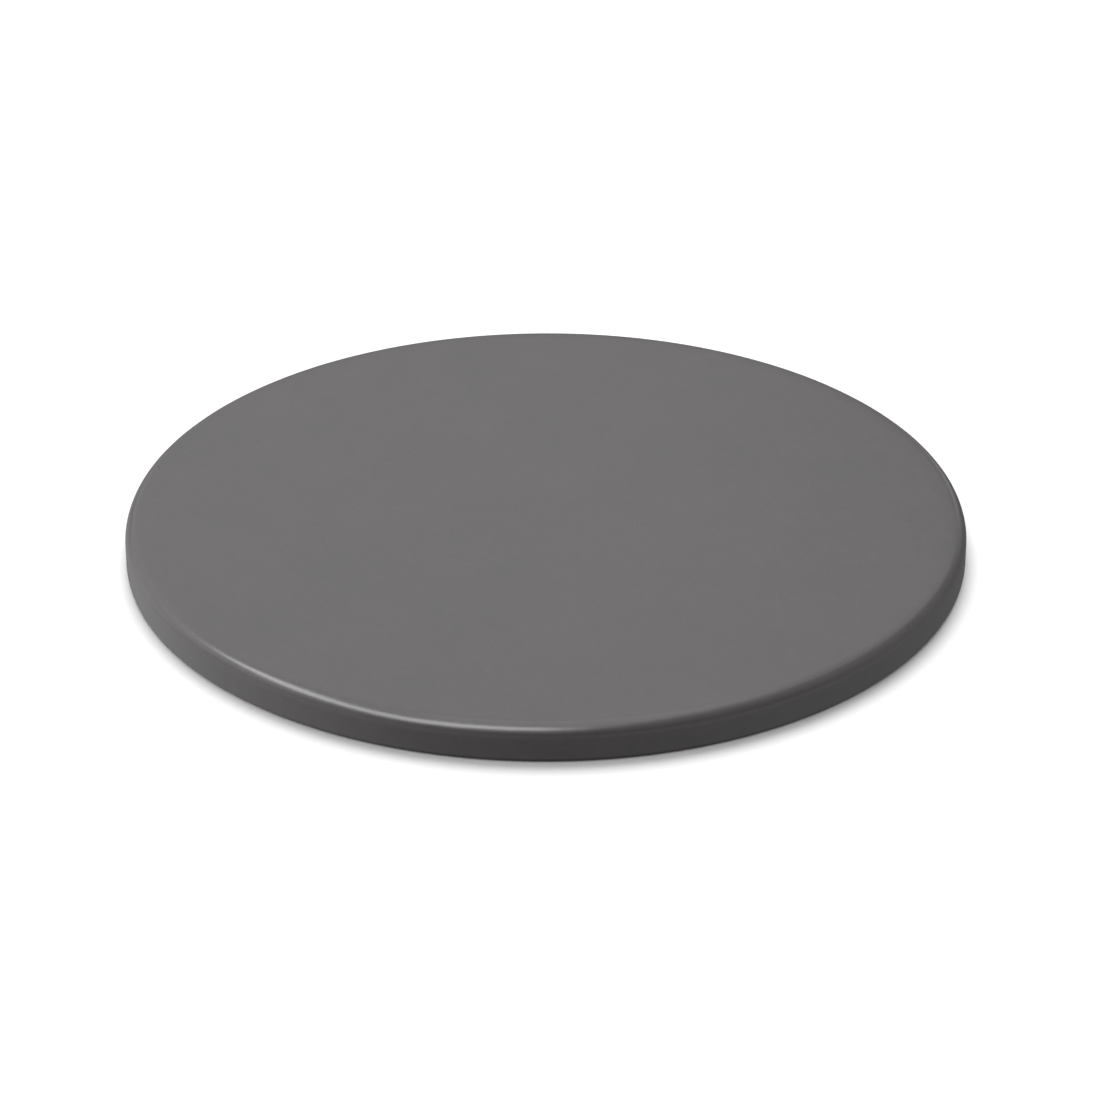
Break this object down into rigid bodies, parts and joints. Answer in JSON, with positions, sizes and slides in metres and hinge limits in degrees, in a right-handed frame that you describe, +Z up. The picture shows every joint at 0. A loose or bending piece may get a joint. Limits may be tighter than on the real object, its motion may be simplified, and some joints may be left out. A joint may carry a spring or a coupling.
{
  "type": "pizza stone",
  "caption": "Round flat baking stone with a smooth dark grey glazed top and wall, a wide rounded rim and a bare flat underside.",
  "frame": {"origin": "centre of the underside, on the surface that the stone rests on", "axes": "+Z up along the disc's own axis, from the underside to the cooking face; +X and +Y are any two square directions across the round face"},
  "size_m": [0.36, 0.36, 0.0164],
  "materials": {
    "fired_body": "matte",
    "dark_glaze": "satin"
  },
  "bodies": {
    "root": {"stone_body": "fired_body", "glaze_coat": "dark_glaze"}
  },
  "joints": []
}
